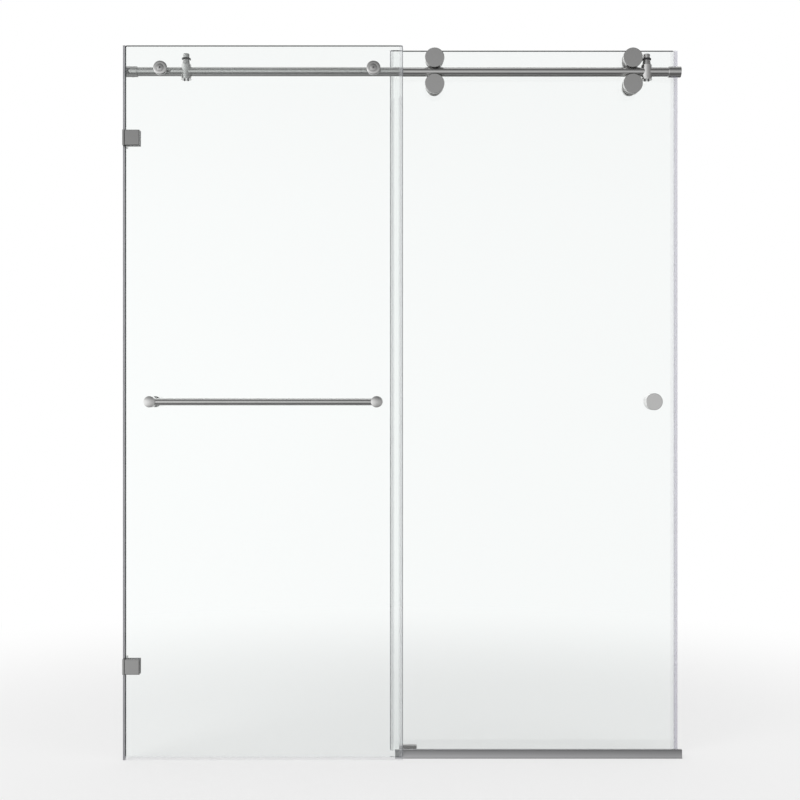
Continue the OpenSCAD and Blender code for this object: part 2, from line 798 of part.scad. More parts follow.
module threshold() {
    x0 = fixed_right - sill_tail;
    color("#b4b4b6") translate([x0, 0, 0]) rotate([90, 0, 90])
        linear_extrude(wall_x - x0) sill_section();
}

module guide_block() {
    color("#8b8c8e") difference() {
        block([guide_x, guide_front_y, 0],
              [guide_x + guide_len, guide_front_y + guide_depth, guide_h]);
        block([guide_x - past, guide_mid_y - guide_slot / 2, guide_floor],
              [guide_x + guide_len + past, guide_mid_y + guide_slot / 2, guide_h + past]);
        block([guide_x - past, guide_mid_y, guide_back_h],
              [guide_x + guide_len + past, guide_mid_y + guide_depth, guide_h + past]);
        for (s = [-1, 1]) translate([guide_mid_x + s * guide_screw_pitch / 2, guide_mid_y, 0]) {
            translate([0, 0, -past]) cylinder(h = guide_floor + 2 * past, d = guide_screw_d);
            translate([0, 0, guide_floor - guide_csk]) cylinder(h = guide_csk + 0.01,
                r1 = guide_screw_d / 2, r2 = csk_r(guide_screw_d, guide_csk));
        }
    }
}

// Slippery lining of the guide's slot
module guide_liner() {
    outer = guide_slot - 2 * fit;
    color("#e8e8ea") difference() {
        block([guide_x, guide_mid_y - outer / 2, guide_floor],
              [guide_x + guide_len, guide_mid_y + outer / 2, guide_h]);
        block([guide_x - past, guide_mid_y - outer / 2 + liner_t, guide_floor + liner_t],
              [guide_x + guide_len + past, guide_mid_y + outer / 2 - liner_t, guide_h + past]);
        block([guide_x - past, guide_mid_y, guide_back_h],
              [guide_x + guide_len + past, guide_mid_y + guide_depth, guide_h + past]);
        for (s = [-1, 1])
            translate([guide_mid_x + s * guide_screw_pitch / 2, guide_mid_y, guide_floor - past])
                cylinder(h = liner_t + 2 * past, r = csk_r(guide_screw_d, guide_csk));
    }
}

// Door

module door_glass() {
    color("#cfd6d8") sheet(door_front_y, glass_t) difference() {
        translate([door_left, door_bottom])
            round_rect(door_right - door_left, door_top - door_bottom, glass_corner);
        for (side = [left, right], level = [lower, upper])
            translate([roller_x(side), roller_z(level)]) circle(d = glass_hole_d);
        translate([knob_x, handle_z]) circle(d = small_hole_d);
    }
}

// Clip with a hollow bulb that meets the wall
module strike_seal() {
    bulb_in = 0.3;
    bulb_r = (strike_gap - seal_wall - bulb_in + seal_wall / 2) / 2;
    bulb_x = strike_gap - bulb_in - bulb_r;
    color("#d9d7e6") translate([door_right, 0, door_bottom])
        linear_extrude(door_top - door_bottom) {
            seal_clip(door_front_y);
            translate([bulb_x, door_front_y + glass_t / 2]) difference() {
                circle(bulb_r);
                circle(bulb_r - seal_wall);
            }
        }
}

// Clip on the door's other edge; its fin meets the fixed panel's fin when closed
module trailing_seal() {
    color("#d9d7e6") translate([door_left, 0, 0]) rotate([0, 0, 180]) {
        translate([0, 0, door_bottom])
            linear_extrude(door_top - door_bottom) seal_clip(-door_back_y);
        translate([0, 0, fin_foot_z])
            linear_extrude(rail_z - fin_drop - fin_foot_z) seal_fin(-door_front_y);
    }
}

// A turned knob with its foot at y = 0, pointing along -Y, and a blind hole in the foot
module knob(d, l) {
    difference() {
        translate([0, -l, 0]) rotate([-90, 0, 0]) rotate_extrude() disc_half(d / 2, l, edge_r);
        rod_y(0, 0, -knob_stud_bite - hole_slack, past, knob_stud_d / 2 + fit);
    }
}

module knob_outer() {
    color("#b3b5b8") translate([knob_x, door_front_y - gasket_t, handle_z])
        knob(knob_d, knob_l);
}

module knob_inner() {
    color("#b3b5b8") translate([knob_x, door_back_y + gasket_t, handle_z]) mirror([0, 1, 0])
        knob(knob_inner_d, knob_inner_l);
}

module knob_stud() {
    color("#6d6f71") rod_y(knob_x, handle_z, door_front_y - gasket_t - knob_stud_bite,
                           door_back_y + gasket_t + knob_stud_bite, knob_stud_d / 2);
}

module door_gaskets() {
    color("#dddbe6") {
        glass_gasket(knob_x, handle_z, door_front_y, knob_stud_d, small_hole_d,
                     knob_d - 2 * washer_rim, knob_inner_d - 2 * washer_rim);
        for (side = [left, right], level = [lower, upper])
            glass_gasket(roller_x(side), roller_z(level), door_front_y, bearing_bore,
                         glass_hole_d, axle_flange_d, back_cap_d);
    }
}

// Rollers

// Axle, from its tip in the wheel to its end in the cap behind the glass
module roller_axle(side, level) {
    x = roller_x(side);
    z = roller_z(level);
    color("#8d8f91") difference() {
        union() {
            rod_y(x, z, axle_tip_y, axle_end_y, bore_r);
            rod_y(x, z, bearing_w / 2 + fit, axle_base_y, axle_shoulder_r);
            turn_y(x, axle_flange_y, z)
                disc_half(axle_flange_d / 2, axle_base_y - axle_flange_y, edge_r);
        }
        turn_y(x, -bearing_w / 2 - fit - clip_t - fit, z)
            ring_half(bore_r - clip_groove, bore_r + past, clip_t + fit);
    }
}

module roller_back_caps() {
    color("#b3b5b8") for (side = [left, right], level = [lower, upper]) difference() {
        turn_y(roller_x(side), door_back_y + gasket_t, roller_z(level))
            translate([0, back_cap_l]) mirror([0, 1]) disc_half(back_cap_d / 2, back_cap_l, edge_r);
        rod_y(roller_x(side), roller_z(level), door_back_y, axle_end_y + hole_slack, bore_r + fit);
    }
}

module bearing_inner_races() {
    color("#9a9c9e") for (side = [left, right], level = [lower, upper])
        turn_y(roller_x(side), -bearing_w / 2, roller_z(level)) difference() {
            ring_half(bore_r + fit, pitch_r - race_land, bearing_w);
            translate([pitch_r, bearing_w / 2]) circle(race_groove_r);
        }
}

// Open retaining rings in the axles' grooves
module axle_clips() {
    color("#3c3d3f") for (side = [left, right], level = [lower, upper])
        translate([roller_x(side), -bearing_w / 2 - fit - clip_t, roller_z(level)])
            rotate([-90, 0, 0]) linear_extrude(clip_t) difference() {
                circle(bore_r + clip_reach);
                circle(bore_r - clip_groove + fit);
                translate([0, -1.5]) square([bore_r * 2, 3]);
            }
}

// Grooved wheel, bored for its bearing from the front
module roller_wheel(side, level) {
    half = wheel_w / 2;
    color("#dcdcda") turn_y(roller_x(side), 0, roller_z(level)) difference() {
        translate([0, -half]) union() {
            square([wheel_r - edge_r, wheel_w]);
            translate([0, edge_r]) square([wheel_r, wheel_w - 2 * edge_r]);
            for (y = [edge_r, wheel_w - edge_r]) translate([wheel_r - edge_r, y]) circle(edge_r);
        }
        translate([groove_floor_r + groove_r, 0]) circle(groove_r, $fn = 180);
        translate([0, -half - past])
            square([bearing_r + fit, half + past + bearing_w / 2 + fit]);
        translate([0, -half]) square([axle_shoulder_r + axle_gap, wheel_w + past]);
    }
}

// Plain disc on the wheel's front; its spigot keeps the bearing in
module roller_cover(side, level) {
    spigot_w = 1.6;
    color("#858587") turn_y(roller_x(side), -wheel_w / 2 - cover_t, roller_z(level)) {
        disc_half(cover_d / 2, cover_t, edge_r);
        translate([bearing_r - spigot_w, 0])
            square([spigot_w, cover_t + wheel_w / 2 - bearing_w / 2 - fit]);
    }
}

// Outer race with its shields, and the balls
module roller_bearing(side, level) {
    land_r = pitch_r + race_land;
    color("#9a9c9e") {
        turn_y(roller_x(side), -bearing_w / 2, roller_z(level)) difference() {
            union() {
                ring_half(land_r, bearing_r, bearing_w);
                for (y = [0, bearing_w - shield_t]) translate([0, y])
                    ring_half(pitch_r - race_land + shield_gap, bearing_r, shield_t);
            }
            translate([pitch_r, bearing_w / 2]) circle(race_groove_r);
        }
        for (i = [0 : ball_count - 1])
            translate([roller_x(side), 0, roller_z(level)])
                rotate([0, i * 360 / ball_count, 0]) translate([pitch_r, 0, 0]) sphere(d = ball_d);
    }
}

fixed_glass();
wall_seal();
fixed_edge_seal();
sill_strip();
header_rail();
rail_socket(left);  // rail_socket_left
rail_socket(right);  // rail_socket_right
grub_screws();
stop_collar(left);  // stop_collar_left
stop_collar(right);  // stop_collar_right
stop_bumper(left);  // stop_bumper_left
stop_bumper(right);  // stop_bumper_right
stop_cap(left);  // stop_cap_left
stop_cap(right);  // stop_cap_right
stop_set_screws();
standoff_cap(left);  // standoff_cap_left
standoff_cap(right);  // standoff_cap_right
standoff_spacer(left);  // standoff_spacer_left
standoff_spacer(right);  // standoff_spacer_right
standoff_screws();
fixed_panel_gaskets();
clamp_plate(upper);  // clamp_plate_upper
clamp_plate(lower);  // clamp_plate_lower
clamp_bracket(upper);  // clamp_bracket_upper
clamp_bracket(lower);  // clamp_bracket_lower
clamp_bolts();
clamp_pads();
towel_bar();
towel_post(left);  // towel_post_left
towel_post(right);  // towel_post_right
towel_back_screws();
threshold();
guide_block();
guide_liner();
door_glass();
strike_seal();
trailing_seal();
knob_outer();
knob_inner();
knob_stud();
door_gaskets();
roller_axle(left, upper);  // roller_axle_upper_left
roller_axle(right, upper);  // roller_axle_upper_right
roller_axle(left, lower);  // roller_axle_lower_left
roller_axle(right, lower);  // roller_axle_lower_right
roller_back_caps();
bearing_inner_races();
axle_clips();
roller_wheel(left, upper);  // roller_wheel_upper_left
roller_wheel(right, upper);  // roller_wheel_upper_right
roller_wheel(left, lower);  // roller_wheel_lower_left
roller_wheel(right, lower);  // roller_wheel_lower_right
roller_cover(left, upper);  // roller_cover_upper_left
roller_cover(right, upper);  // roller_cover_upper_right
roller_cover(left, lower);  // roller_cover_lower_left
roller_cover(right, lower);  // roller_cover_lower_right
roller_bearing(left, upper);  // roller_bearing_upper_left
roller_bearing(right, upper);  // roller_bearing_upper_right
roller_bearing(left, lower);  // roller_bearing_lower_left
roller_bearing(right, lower);  // roller_bearing_lower_right
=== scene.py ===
"""A frameless sliding shower door: clear glass panels, brushed steel hardware and clear seals."""

import json
import math

import bpy
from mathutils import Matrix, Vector


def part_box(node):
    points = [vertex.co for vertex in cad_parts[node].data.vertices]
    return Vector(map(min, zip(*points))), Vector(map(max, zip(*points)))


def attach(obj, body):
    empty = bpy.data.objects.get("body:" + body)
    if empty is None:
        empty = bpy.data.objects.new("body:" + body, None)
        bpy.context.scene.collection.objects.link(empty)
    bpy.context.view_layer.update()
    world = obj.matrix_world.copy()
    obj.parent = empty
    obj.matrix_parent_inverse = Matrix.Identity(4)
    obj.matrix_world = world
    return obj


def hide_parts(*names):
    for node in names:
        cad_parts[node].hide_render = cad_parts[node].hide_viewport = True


bl_info = {
    "name": "Sliding shower door",
    "version": (1, 0, 0),
    "blender": (4, 5, 0),
    "location": "View3D > Sidebar > Shower door",
    "description": "Builds the panels, hardware, seals and studio of a sliding shower door",
    "category": "Add Mesh",
}

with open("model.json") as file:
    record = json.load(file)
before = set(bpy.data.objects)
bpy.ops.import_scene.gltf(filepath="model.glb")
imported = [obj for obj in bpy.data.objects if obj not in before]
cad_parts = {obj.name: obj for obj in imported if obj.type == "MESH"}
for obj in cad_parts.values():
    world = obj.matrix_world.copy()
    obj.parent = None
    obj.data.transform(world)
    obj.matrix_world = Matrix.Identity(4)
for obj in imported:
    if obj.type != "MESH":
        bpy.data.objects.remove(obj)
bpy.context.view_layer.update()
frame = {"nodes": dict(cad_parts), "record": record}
MM = 0.001
LEVELS = ("upper", "lower")
SIDES = ("left", "right")
CORNERS = tuple(f"{level}_{side}" for level in LEVELS for side in SIDES)

# Sizes that the boxes of the CAD nodes don't give: radii, unless the name says otherwise
FIT = 0.05 * MM
WIDE_GLASS_HOLE = 8 * MM
SMALL_GLASS_HOLE = 6 * MM
SET_SCREW = 2.5 * MM
STOP_SCREWS_APART = 10 * MM
STANDOFF_HEAD = 10 * MM
STANDOFF_HEAD_HEIGHT = 4 * MM
STANDOFF_KEY_FLATS = 5 * MM
KNOB_STUD = 3 * MM
KNOB_HOLE_DEPTH = 14.5 * MM
COVER_THICKNESS = 8.5 * MM

# These differ from the part, which has 5 mm, 10.05 mm and 2.5 mm
STANDOFF_SHANK = 4 * MM
STANDOFF_RECESS = 10.1 * MM
STANDOFF_KEY_DEPTH = 3.6 * MM

# Material slots of a glass panel: the dark ground edges are painted shade, and the pale slot is
# also a painted highlight on the bottom edges
FACE, SHADED_GROUND_EDGE, PALE_EDGE = range(3)


# Settings

class GlassSettings(bpy.types.PropertyGroup):
    """Sizes and colours of the two glass panels"""

    tint: bpy.props.FloatVectorProperty(
        name="Tint", description="Colour of light that has passed through a panel",
        subtype="COLOR", default=(0.955, 0.975, 0.968), min=0, max=1)
    # painted shade: the near-black colour stands for how dark the ground edges look
    edge_shade: bpy.props.FloatVectorProperty(
        name="Edge tint", description="Colour of the ground edges, seen through the glass",
        subtype="COLOR", default=(0.02, 0.03, 0.029), min=0, max=1)
    side_tint: bpy.props.FloatVectorProperty(
        name="Side tint", description="Colour of the upright edges, which the seals cover",
        subtype="COLOR", default=(0.80, 0.83, 0.83), min=0, max=1)
    arris: bpy.props.FloatProperty(
        name="Arris", description="Width of the flat ground along every edge",
        unit="LENGTH", default=1.5 * MM, min=0.2 * MM, max=2 * MM)
    corner: bpy.props.FloatProperty(
        name="Corner", description="Radius of the panels' corners",
        unit="LENGTH", default=4 * MM, min=1 * MM, max=10 * MM)


class SteelSettings(bpy.types.PropertyGroup):
    """Colours and polish of the metal"""

    colour: bpy.props.FloatVectorProperty(
        name="Steel", description="Colour of the brushed stainless steel",
        subtype="COLOR", default=(0.56, 0.56, 0.555), min=0, max=1)
    # The darker screw colour also paints the shade inside the standoff screws' sockets
    dark: bpy.props.FloatVectorProperty(
        name="Screw steel", description="Colour of the darker screws",
        subtype="COLOR", default=(0.18, 0.18, 0.185), min=0, max=1)
    aluminium: bpy.props.FloatVectorProperty(
        name="Aluminium", description="Colour of the anodised threshold",
        subtype="COLOR", default=(0.5, 0.5, 0.51), min=0, max=1)
    satin: bpy.props.FloatProperty(
        name="Satin roughness", description="Roughness of turned satin faces",
        default=0.42, min=0, max=1)
    brushed: bpy.props.FloatProperty(
        name="Brushed roughness", description="Roughness of the drawn bars",
        default=0.2, min=0, max=1)


class TrimSettings(bpy.types.PropertyGroup):
    """Colours of the vinyl, nylon and rubber"""

    vinyl: bpy.props.FloatVectorProperty(
        name="Vinyl", description="Colour of the clear seals and gaskets",
        subtype="COLOR", default=(0.90, 0.90, 0.95), min=0, max=1)
    # painted shade: the strip's grey stands for the shade at the wall
    shaded_wall_strip: bpy.props.FloatVectorProperty(
        name="Wall strip", description="Colour of the strip between the fixed panel and the wall",
        subtype="COLOR", default=(0.42, 0.42, 0.44), min=0, max=1)
    nylon: bpy.props.FloatVectorProperty(
        name="Nylon", description="Colour of the wheels and the guide's liner",
        subtype="COLOR", default=(0.42, 0.42, 0.41), min=0, max=1)
    strike: bpy.props.FloatVectorProperty(
        name="Closing seal", description="Colour of the bulb seal that meets the wall",
        subtype="COLOR", default=(0.60, 0.59, 0.70), min=0, max=1)
    rubber: bpy.props.FloatVectorProperty(
        name="Rubber", description="Colour of the bumper rings",
        subtype="COLOR", default=(0.02, 0.02, 0.022), min=0, max=1)


class StudioSettings(bpy.types.PropertyGroup):
    """Camera and light"""

    camera_height: bpy.props.FloatProperty(
        name="Camera height", description="Height of the lens above the sill",
        unit="LENGTH", default=0.977, min=0.2, max=2)
    camera_distance: bpy.props.FloatProperty(
        name="Camera distance", description="Distance of the lens from the rail's plane",
        unit="LENGTH", default=3.03, min=1, max=10)
    camera_side: bpy.props.FloatProperty(
        name="Camera side", description="How far right of the middle the lens stands",
        unit="LENGTH", default=-0.0059, min=-1, max=1)
    back_wall: bpy.props.FloatProperty(
        name="Back wall",
        description="Brightness of the light wall that the metal mirrors behind it",
        default=1.6, min=0.0, max=4.0)
    fill: bpy.props.FloatProperty(
        name="Fill", description="Strength of the even light on dull surfaces",
        default=0.62, min=0, max=2)
    shadow: bpy.props.FloatProperty(
        name="Shadow", description="How much of the floor's own shading shows near the door",
        default=0.35, min=0, max=1)
    key: bpy.props.FloatProperty(
        name="Key", description="Power of the main lamp", unit="POWER",
        default=38, min=0, max=500)


# What metal mirrors at each height, from straight down (0) to straight up (1)
MIRRORED_BANDS = (
    (0.0, 0.38), (0.05, 0.2), (0.1, 0.12), (0.17, 0.22), (0.27, 0.52), (0.36, 0.8), (0.5, 0.86),
    (0.577, 0.76), (0.66, 0.46), (0.787, 0.26), (0.95, 0.12), (0.98, 0.6), (1.0, 1.1))
# How much brighter than the middle the left (0) is, and how much darker the right (1)
MIRRORED_SIDES = (
    (0.0, 2.3), (0.12, 2.0), (0.28, 1.6), (0.42, 1.25), (0.5, 1.0), (0.65, 0.82), (0.82, 0.68),
    (1.0, 0.42))

SETTINGS = {
    "shower_glass": GlassSettings,
    "shower_steel": SteelSettings,
    "shower_trim": TrimSettings,
    "shower_studio": StudioSettings,
}


# Shader arithmetic

class Wire:
    """A shader socket that takes part in Python arithmetic"""

    def __init__(self, shader, socket):
        self.shader = shader
        self.socket = socket

    def combine(self, operation, first, second):
        return self.shader.add("ShaderNodeMath", {"operation": operation}, {0: first, 1: second})

    def __add__(self, other):
        return self.combine("ADD", self, other)

    def __radd__(self, other):
        return self.combine("ADD", other, self)

    def __rsub__(self, other):
        return self.combine("SUBTRACT", other, self)

    def __mul__(self, other):
        return self.combine("MULTIPLY", self, other)

    def __rmul__(self, other):
        return self.combine("MULTIPLY", other, self)


def with_alpha(value):
    """A colour of three parts with an alpha of 1, and any other value as it is"""
    return (*value, 1) if isinstance(value, tuple) and len(value) == 3 else value


class Shader:
    """The node tree of one material or world, with one method that adds any node"""

    def __init__(self, tree):
        self.tree = tree

    def add(self, kind, settings=None, sockets=None, output=0):
        node = self.tree.nodes.new(kind)
        for name, value in (settings or {}).items():
            if name == "stops":
                self.set_stops(node.color_ramp, value)
            else:
                setattr(node, name, value)
        for name, value in (sockets or {}).items():
            self.feed(node.inputs[name], value)
        return Wire(self, node.outputs[output])

    def feed(self, socket, value):
        if isinstance(value, Wire):
            self.tree.links.new(value.socket, socket)
        else:
            socket.default_value = value

    def set_stops(self, ramp, stops):
        while len(ramp.elements) < len(stops):
            ramp.elements.new(0.5)
        for element, (place, shade) in zip(ramp.elements, stops):
            element.position = place
            element.color = (shade, shade, shade, 1)

    def mix(self, factor, first, second):
        """A colour between two colours"""
        first, second = (with_alpha(colour) for colour in (first, second))
        return self.add("ShaderNodeMix", {"data_type": "RGBA"},
                        {0: factor, 6: first, 7: second}, output=2)

    def vary(self, factor, colour, low, high):
        """A colour that runs from one share of itself to another"""
        first, second = (tuple(share * c for c in colour) for share in (low, high))
        return self.mix(factor, first, second)

    def axis(self, vector, index):
        """One part of a vector: X is 0, Y is 1 and Z is 2"""
        return self.add("ShaderNodeSeparateXYZ", sockets={0: vector}, output=index)

    def fade(self, value, start, end, first=0.0, last=1.0, kind="SMOOTHSTEP"):
        """Goes from first to last while a value goes from start to end"""
        return self.add("ShaderNodeMapRange", {"interpolation_type": kind}, {
            "Value": value, "From Min": start, "From Max": end, "To Min": first, "To Max": last})

    def place(self, scale=(1, 1, 1)):
        """Object coordinates, stretched by scale"""
        coordinates = self.add("ShaderNodeTexCoord", output=3)
        return self.add("ShaderNodeMapping", sockets={"Vector": coordinates, "Scale": scale})

    def noise(self, scale, stretch=(1, 1, 1), detail=2.0):
        return self.add("ShaderNodeTexNoise", sockets={
            "Vector": self.place(stretch), "Scale": scale, "Detail": detail})

    def view_paths(self):
        """Two masks: what is seen directly or through glass, and what a shiny face mirrors"""
        camera, clear, glossy, diffuse = (self.add("ShaderNodeLightPath", output=name) for name in (
            "Is Camera Ray", "Is Transmission Ray", "Glossy Depth", "Diffuse Depth"))
        straight = self.at_most_one(camera + clear)
        mirrored = self.at_most_one(glossy)
        return straight * (1 - self.at_most_one(glossy + diffuse)), mirrored

    def at_most_one(self, value):
        return value.combine("MINIMUM", value, 1.0)

    def bump(self, height, strength):
        return self.add("ShaderNodeBump", sockets={
            "Height": height, "Strength": strength, "Distance": 0.2 * MM})


class Finish(Shader):
    """A material whose surface is one Principled shader"""

    def __init__(self, name, fixed):
        self.material = bpy.data.materials.new(name)
        self.material.use_nodes = True
        super().__init__(self.material.node_tree)
        self.surface = self.tree.nodes["Principled BSDF"]
        self.set(fixed)

    def set(self, values):
        for name, value in values.items():
            self.feed(self.surface.inputs[name], with_alpha(value))


# Finishes

def clear_glass(scene):
    """Toughened glass: clear, its tint a little uneven"""
    made = Finish("clear_glass", {"Roughness": 0.0, "IOR": 1.5, "Transmission Weight": 1.0})
    clouds = made.noise(1.3, detail=1.0)
    made.set({"Base Color": made.vary(clouds, scene.shower_glass.tint, 1.0, 0.992)})
    return made.material


def shaded_ground_edge(scene):
    """The ground edges of a panel, painted near black for the shade they show through the glass"""
    made = Finish("shaded_ground_edge", {"IOR": 1.5, "Specular IOR Level": 0.1})
    grain = made.noise(900.0)
    made.set({
        "Base Color": made.vary(grain, scene.shower_glass.edge_shade, 1.0, 2.2),
        "Roughness": 0.6 + 0.2 * grain})
    return made.material


def upright_edge(scene):
    """The upright edges of a panel, polished and pale under their seals, and a painted highlight on
    the bottom edges
    """
    made = Finish("upright_edge", {"IOR": 1.5, "Transmission Weight": 0.95})
    grain = made.noise(700.0)
    made.set({
        "Base Color": made.vary(grain, scene.shower_glass.side_tint, 1.0, 1.1),
        "Roughness": 0.02 + 0.06 * grain})
    return made.material


def brushed_bar(scene):
    """Steel drawn and brushed along X"""
    steel = scene.shower_steel
    made = Finish("brushed_bar", {"Metallic": 1.0, "IOR": 2.5})
    streaks = made.noise(1.0, stretch=(14, 2600, 2600))
    blotches = made.noise(9.0)
    made.set({
        "Base Color": made.vary(streaks * 0.6 + blotches * 0.4, steel.colour, 0.86, 1.1),
        "Roughness": steel.brushed - 0.05 + 0.12 * streaks,
        "Normal": made.bump(streaks, 0.12)})
    return made.material


def satin(name, share, scene, roughness=None):
    """Blasted and turned steel that reflects a share of what the bars reflect"""
    steel = scene.shower_steel
    roughness = roughness or steel.satin
    made = Finish(name, {"Metallic": 1.0, "IOR": 2.5})
    grain = made.noise(1800.0)
    brush = made.noise(1.0, stretch=(60, 60, 3200))
    made.set({
        "Base Color": made.vary(brush, steel.colour, 0.93 * share, 1.05 * share),
        "Roughness": roughness - 0.06 + 0.12 * grain,
        "Normal": made.bump(grain * 0.5 + brush * 0.5, 0.08)})
    return made.material


def satin_steel(scene):
    """Satin steel of the spacers, the axles and the screws and caps behind the glass"""
    return satin("satin_steel", 0.85, scene)


def disc_steel(scene):
    """Duller steel of the roller covers"""
    return satin("disc_steel", 0.88, scene, 0.26)


def clamp_steel(scene):
    """Dark satin steel of the wall clamps"""
    return satin("clamp_steel", 0.55, scene, 0.3)


def highlit_stop_steel(scene):
    """Satin steel of the rail stops, made paler as a painted highlight"""
    return satin("highlit_stop_steel", 1.2, scene, 0.28)


def guide_steel(scene):
    """Dull cast metal of the door guide"""
    made = Finish("guide_steel", {"Metallic": 0.25, "IOR": 1.6})
    grain = made.noise(1400.0)
    made.set({
        "Base Color": made.vary(grain, scene.shower_steel.colour, 0.945, 1.155),
        "Roughness": 0.34 + 0.12 * grain,
        "Normal": made.bump(grain, 0.08)})
    return made.material


def post_steel(scene):
    """Smooth satin steel of the towel bar's posts"""
    return satin("post_steel", 1.0, scene, 0.24)


def knob_steel(scene):
    """Bright satin steel of the knobs"""
    return satin("knob_steel", 1.16, scene, 0.2)


def polished_steel(scene):
    """Smooth steel of the stops' caps, the standoff caps and the bearings"""
    made = Finish("polished_steel", {"Metallic": 1.0, "IOR": 2.5})
    haze = made.noise(160.0, detail=3.0)
    made.set({
        "Base Color": made.vary(haze, scene.shower_steel.colour, 0.94, 1.0),
        "Roughness": 0.13 + 0.1 * haze})
    return made.material


def blackened_steel_and_socket_shade(scene):
    """Blackened screws, and the painted shade inside the hexagon sockets of the standoff screws"""
    made = Finish("blackened_steel_and_socket_shade", {"Metallic": 1.0})
    grain = made.noise(700.0, detail=3.0)
    made.set({
        "Base Color": made.vary(grain, scene.shower_steel.dark, 1.0, 1.6),
        "Roughness": 0.3 + 0.2 * grain})
    return made.material


def anodised_aluminium(scene):
    """Satin anodised extrusion with faint lines along X, with painted shade that darkens it towards
    its top
    """
    made = Finish("anodised_aluminium", {"Metallic": 1.0})
    lines = made.noise(1.0, stretch=(4, 1500, 1500))
    # painted shade: the colour falls to half between 3 mm and 22 mm above the sill
    foot = made.fade(made.axis(made.place(), 2), 3 * MM, 22 * MM, 1.0, 0.5, "LINEAR")
    level = foot * (0.86 + 0.28 * lines)
    made.set({
        "Base Color": made.vary(level, scene.shower_steel.aluminium, 0.0, 1.0),
        "Roughness": 0.3 + 0.14 * lines,
        "Normal": made.bump(lines, 0.1)})
    return made.material


def clear_vinyl(scene):
    """Clear soft vinyl of the seals, washers and pads"""
    made = Finish("clear_vinyl", {"IOR": 1.45, "Roughness": 0.12, "Alpha": 0.1})
    cloud = made.noise(8.0, detail=1.0)
    made.set({"Base Color": made.vary(cloud, scene.shower_trim.vinyl, 0.97, 1.0)})
    return made.material


def strike_vinyl(scene):
    """Vinyl of the door's closing seal: clear where it clips the glass, milky at its bulb"""
    made = Finish("strike_vinyl", {"IOR": 1.2, "Roughness": 0.35})
    cloud = made.noise(11.0, stretch=(1, 1, 0.2))
    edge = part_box("door_glass")[1].x
    bulb = made.fade(made.axis(made.place(), 0), edge - 0.6 * MM, edge, kind="LINEAR")
    made.set({
        "Base Color": made.vary(cloud, scene.shower_trim.strike, 0.93, 1.07),
        "Alpha": 0.03 + bulb * (0.15 + 0.06 * cloud)})
    return made.material


def shaded_wall_vinyl(scene):
    """Vinyl of the strip at the wall, painted grey for the shade that falls there"""
    made = Finish("shaded_wall_vinyl", {"IOR": 1.45, "Transmission Weight": 0.5})
    cloud = made.noise(14.0)
    made.set({
        "Base Color": made.vary(cloud, scene.shower_trim.shaded_wall_strip, 1.0, 1.15),
        "Roughness": 0.3 + 0.1 * cloud})
    return made.material


def moulded_nylon(scene):
    """Grey nylon with a fine moulded grain"""
    made = Finish("moulded_nylon", {"IOR": 1.53})
    grain = made.noise(1200.0)
    made.set({
        "Base Color": made.vary(grain, scene.shower_trim.nylon, 0.93, 1.0),
        "Roughness": 0.38 + 0.15 * grain,
        "Normal": made.bump(grain, 0.1)})
    return made.material


def bumper_rubber(scene):
    """Black rubber"""
    made = Finish("bumper_rubber", {"IOR": 1.52})
    grain = made.noise(1500.0)
    made.set({
        "Base Color": made.vary(grain, scene.shower_trim.rubber, 1.0, 1.8),
        "Roughness": 0.5 + 0.2 * grain,
        "Normal": made.bump(grain, 0.15)})
    return made.material


# The finish of each of the record's slots, and of the nodes that differ from their slot
SLOT_FINISH = {
    "clear_vinyl": clear_vinyl, "stainless_steel": satin_steel,
    "dark_steel": blackened_steel_and_socket_shade, "bearing_steel": polished_steel, "bumper_rubber": bumper_rubber,
    "sill_aluminium": anodised_aluminium, "guide_metal": guide_steel, "nylon": moulded_nylon,
}
NODE_FINISH = {
    "wall_seal": shaded_wall_vinyl, "strike_seal": strike_vinyl,
    "header_rail": brushed_bar, "towel_bar": brushed_bar,
    "rail_socket_left": brushed_bar, "rail_socket_right": brushed_bar,
    "clamp_plate_upper": clamp_steel, "clamp_plate_lower": clamp_steel,
    "clamp_bracket_upper": clamp_steel, "clamp_bracket_lower": clamp_steel,
    "knob_outer": knob_steel, "knob_inner": knob_steel,
    "roller_cover_upper_left": disc_steel, "roller_cover_upper_right": disc_steel,
    "roller_cover_lower_left": disc_steel, "roller_cover_lower_right": disc_steel,
    "stop_collar_left": highlit_stop_steel, "stop_collar_right": highlit_stop_steel,
    "stop_cap_left": polished_steel, "stop_cap_right": polished_steel,
    "towel_post_left": post_steel, "towel_post_right": post_steel,
    "standoff_cap_left": polished_steel, "standoff_cap_right": polished_steel,
}
finishes = {}


def finish_of(recipe):
    """The material that a recipe makes, made once"""
    if recipe not in finishes:
        finishes[recipe] = recipe(bpy.context.scene)
    return finishes[recipe]


def node_slots():
    """The record's material slot of each CAD node"""
    return {part["node"]: part["material_slot"] for part in frame["record"]["subparts"]}


def recipe_of(node):
    """What makes the finish of a CAD node"""
    return NODE_FINISH.get(node) or SLOT_FINISH[node_slots()[node]]


def coat(piece, *recipes):
    """Gives a piece one material slot for each finish"""
    piece.data.materials.clear()
    for recipe in recipes:
        piece.data.materials.append(finish_of(recipe))


def paint_node(node):
    """Gives a CAD node its finish"""
    coat(frame["nodes"][node], recipe_of(node))


# Modelling

def deselect():
    """Leaves object mode with nothing selected"""
    if bpy.context.object and bpy.context.object.mode != "OBJECT":
        bpy.ops.object.mode_set(mode="OBJECT")
    bpy.ops.object.select_all(action="DESELECT")


def select_only(piece):
    """Leaves object mode with one piece selected and active"""
    deselect()
    piece.select_set(True)
    bpy.context.view_layer.objects.active = piece


def apply_place(piece):
    """Puts a piece's place, turn and size into its mesh"""
    select_only(piece)
    bpy.ops.object.transform_apply(location=True, rotation=True, scale=True)


